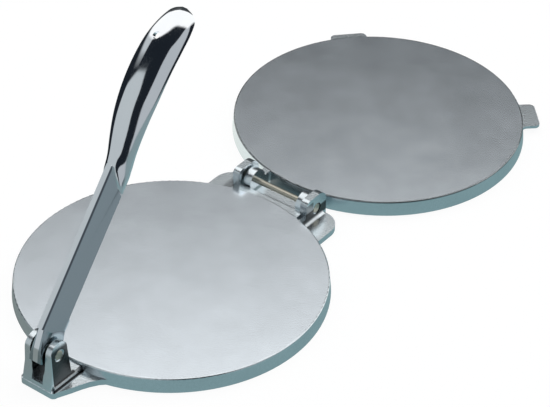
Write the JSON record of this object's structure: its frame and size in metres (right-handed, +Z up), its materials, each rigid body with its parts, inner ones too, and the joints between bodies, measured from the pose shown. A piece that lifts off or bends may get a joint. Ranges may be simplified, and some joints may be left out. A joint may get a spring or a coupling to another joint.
{
  "type": "tortilla press",
  "caption": "Hinged cast-aluminium press: a round base plate, a round top plate that folds over it, and a long lever with an arched grip that clamps the two together.",
  "frame": {"origin": "centre of the base plate, on the surface the press stands on", "axes": "+Z up, +Y from the lever lug at the front to the rear hinge, +X along the hinge axis"},
  "size_m": [0.2018, 0.4521, 0.2036],
  "materials": {
    "cast_base": "satin cast aluminium, ground face",
    "cast_top": "satin cast aluminium, darker ground face",
    "polished_lever": "mirror-polished cast aluminium grip, brushed bar",
    "pin_steel": "drawn steel with a warm tone"
  },
  "bodies": {
    "base": {"base_plate": "cast_base", "lever_pin": "pin_steel"},
    "hinge_pin": {"hinge_pin": "pin_steel"},
    "top": {"top_plate": "cast_top"},
    "lever": {"lever": "polished_lever"}
  },
  "joints": [
    {"name": "pin_in_base", "type": "hinge", "parent": "base", "child": "hinge_pin", "pos_m": [0, 0.1121, 0.0104], "axis": [1, 0, 0], "range_deg": [0, 105]},
    {"name": "top_on_pin", "type": "hinge", "parent": "hinge_pin", "child": "top", "pos_m": [0, 0.1121, 0.0104], "axis": [1, 0, 0], "range_deg": [0, 75]},
    {"name": "lever_swing", "type": "hinge", "parent": "base", "child": "lever", "pos_m": [0, -0.1165, 0.0265], "axis": [-1, 0, 0], "range_deg": [-126, 53.8]}
  ]
}
